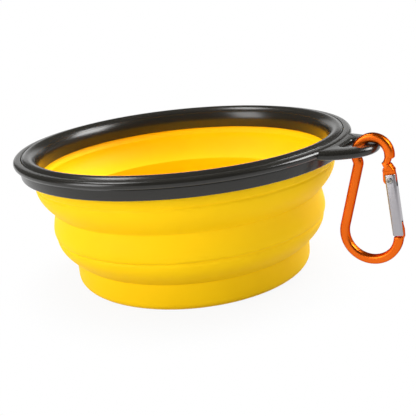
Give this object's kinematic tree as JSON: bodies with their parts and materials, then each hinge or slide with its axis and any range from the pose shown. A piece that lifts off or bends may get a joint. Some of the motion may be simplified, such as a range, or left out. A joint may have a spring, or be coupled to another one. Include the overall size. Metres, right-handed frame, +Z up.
{
  "type": "collapsible silicone bowl",
  "caption": "Round folding travel bowl with an accordion silicone wall, a dark plastic rim with a hang tab, and a spring-gate carabiner to clip it to a bag.",
  "frame": {"origin": "middle of the flat base, on the surface that the open bowl stands on", "axes": "+Z up out of the bowl's mouth, +X through the hang tab and the carabiner"},
  "size_m": [0.1522, 0.13, 0.056],
  "materials": {
    "silicone": "satin moulded silicone",
    "rim_plastic": "semi-gloss moulded",
    "anodised_body": "orange anodised",
    "bare_gate": "plain satin",
    "rivet_steel": "plain"
  },
  "bodies": {
    "base": {"base_cup": "silicone"},
    "middle": {"middle_band": "silicone", "lower_fold": "silicone"},
    "rim": {"upper_band": "silicone", "upper_fold": "silicone", "outer_rim": "rim_plastic", "inner_rim": "rim_plastic"},
    "carabiner": {"carabiner_body": "anodised_body", "gate_rivet": "rivet_steel"},
    "gate": {"carabiner_gate": "bare_gate", "gate_spring": "rivet_steel"},
    "plunger": {"gate_plunger": "rivet_steel"}
  },
  "joints": [
    {"name": "lower_tier_collapse", "type": "slide", "parent": "base", "child": "middle", "axis": [0, 0, -1], "range_m": [0, 0.019], "deforming": ["lower_fold"]},
    {"name": "upper_tier_collapse", "type": "slide", "parent": "middle", "child": "rim", "axis": [0, 0, -1], "range_m": [0, 0.0185], "deforming": ["upper_fold"]},
    {"name": "carabiner_swing", "type": "hinge", "parent": "rim", "child": "carabiner", "pos_m": [0.07645, 0, 0.04875], "axis": [0, -1, 0], "range_deg": [-10, 110]},
    {"name": "gate_hinge", "type": "hinge", "parent": "carabiner", "child": "gate", "pos_m": [0.08267, 0, 0.04032], "axis": [0, 1, 0], "range_deg": [0, 25], "stiffness_Nm_per_rad": 0.015, "springref_deg": -68.75},
    {"name": "plunger_slide", "type": "slide", "parent": "gate", "child": "plunger", "axis": [0.1271, 0, -0.9919], "range_m": [0, 0.0004], "deforming": ["gate_spring"]}
  ],
  "couplings": [
    {"joint": "plunger_slide", "follows": "gate_hinge", "m_per_rad": 0.00085}
  ]
}
